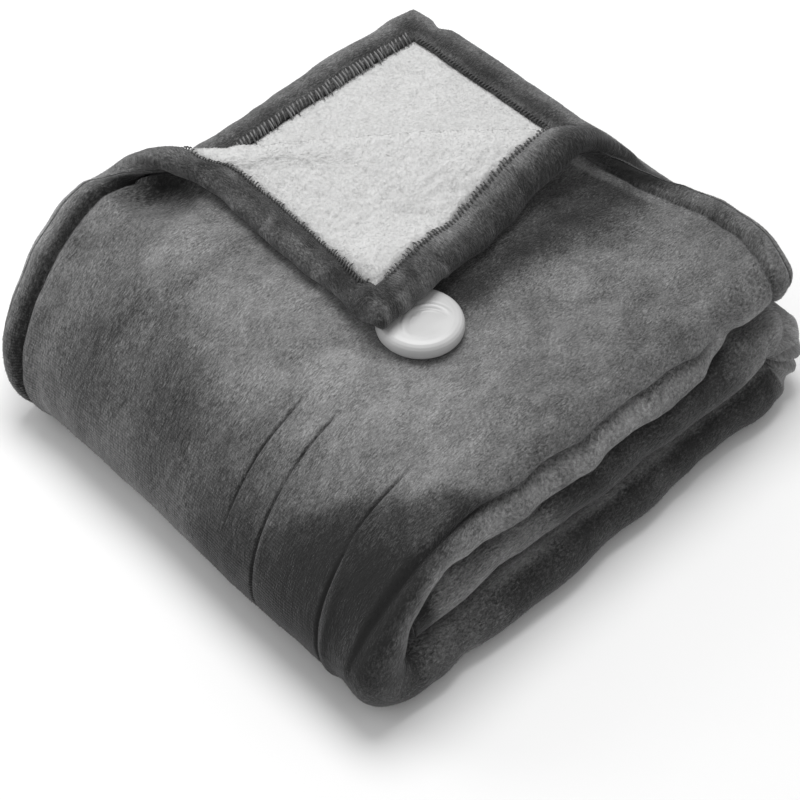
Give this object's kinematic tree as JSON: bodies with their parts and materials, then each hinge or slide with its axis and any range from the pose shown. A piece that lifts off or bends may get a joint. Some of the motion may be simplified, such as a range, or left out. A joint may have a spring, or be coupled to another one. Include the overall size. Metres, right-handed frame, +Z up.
{
  "type": "electric heated blanket",
  "caption": "Plush throw with sherpa reverse and turned hem, folded into a thick square bundle, a corner turned back over a round white power connector.",
  "frame": {"origin": "centre of the bundle's base, on the surface it lies on", "axes": "+Z up; -Y towards the big front roll; +X towards the long folded edge; the turned-down corner lies at -X +Y"},
  "size_m": [0.4952, 0.5169, 0.1964],
  "materials": {
    "plush": "short brushed plush pile, dark grey, uneven where it is stroked",
    "sherpa": "soft bobbly off-white sherpa pile",
    "housing": "smooth satin moulded plastic"
  },
  "bodies": {
    "root": {"face_panel": "plush", "lining_panel": "sherpa", "connector": "housing"}
  },
  "joints": []
}
